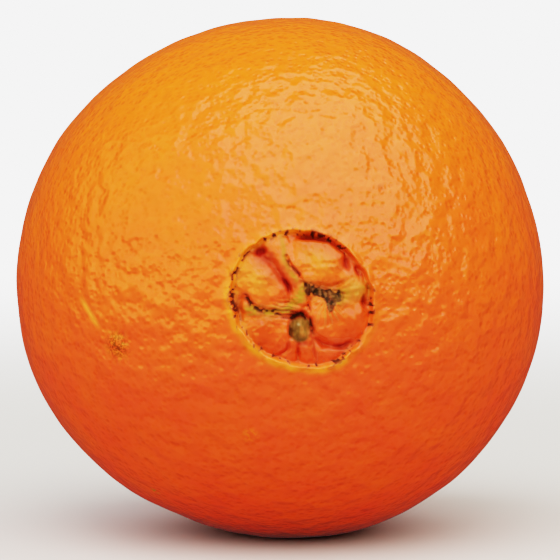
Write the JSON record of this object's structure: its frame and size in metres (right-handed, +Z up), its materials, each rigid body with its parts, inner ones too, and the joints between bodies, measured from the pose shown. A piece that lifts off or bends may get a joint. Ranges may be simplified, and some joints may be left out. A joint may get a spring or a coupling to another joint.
{
  "type": "navel orange",
  "caption": "Whole navel orange lying on its side on a small flat spot, with an open navel at the front and a calyx button in a dimple at the back.",
  "frame": {"origin": "middle of the fruit's box on the surface that it rests on, under its flat spot", "axes": "+Z up; -Y the way the navel faces, so the fruit's own axis from stem to navel runs along Y; +X to the right as one looks at the navel"},
  "size_m": [0.0806, 0.0822, 0.0787],
  "materials": {
    "peel": "satin",
    "calyx": "matte"
  },
  "bodies": {
    "root": {"orange": "peel", "calyx": "calyx"}
  },
  "joints": []
}
